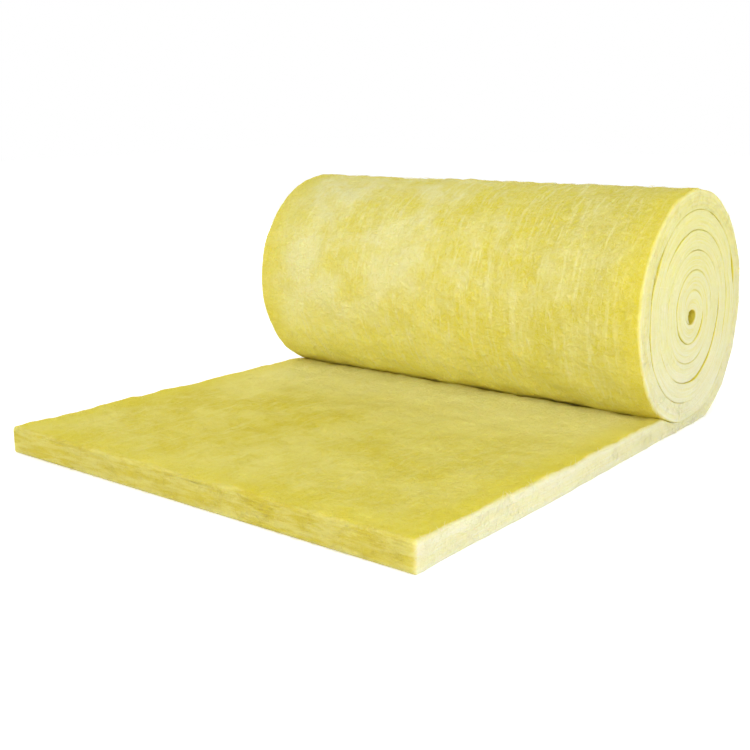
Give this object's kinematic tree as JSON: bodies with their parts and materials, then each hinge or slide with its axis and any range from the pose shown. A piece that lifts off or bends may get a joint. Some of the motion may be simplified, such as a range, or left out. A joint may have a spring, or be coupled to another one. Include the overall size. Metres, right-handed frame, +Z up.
{
  "type": "glass wool insulation blanket",
  "caption": "Soft yellow glass wool blanket for thermal and sound insulation, wound into a roll round a small open eye, with its free end unrolled flat in front.",
  "frame": {"origin": "centre of the bounding box in plan, on the floor", "axes": "+X along the roll, across the width of the blanket; +Y from the cut end towards the roll; +Z up from the floor"},
  "size_m": [1.2, 1.4549, 0.596],
  "materials": {
    "glass_wool": "matt fibrous yellow wool, mottled, paler on the cut edges"
  },
  "bodies": {
    "root": {"blanket": "glass_wool"}
  },
  "joints": []
}
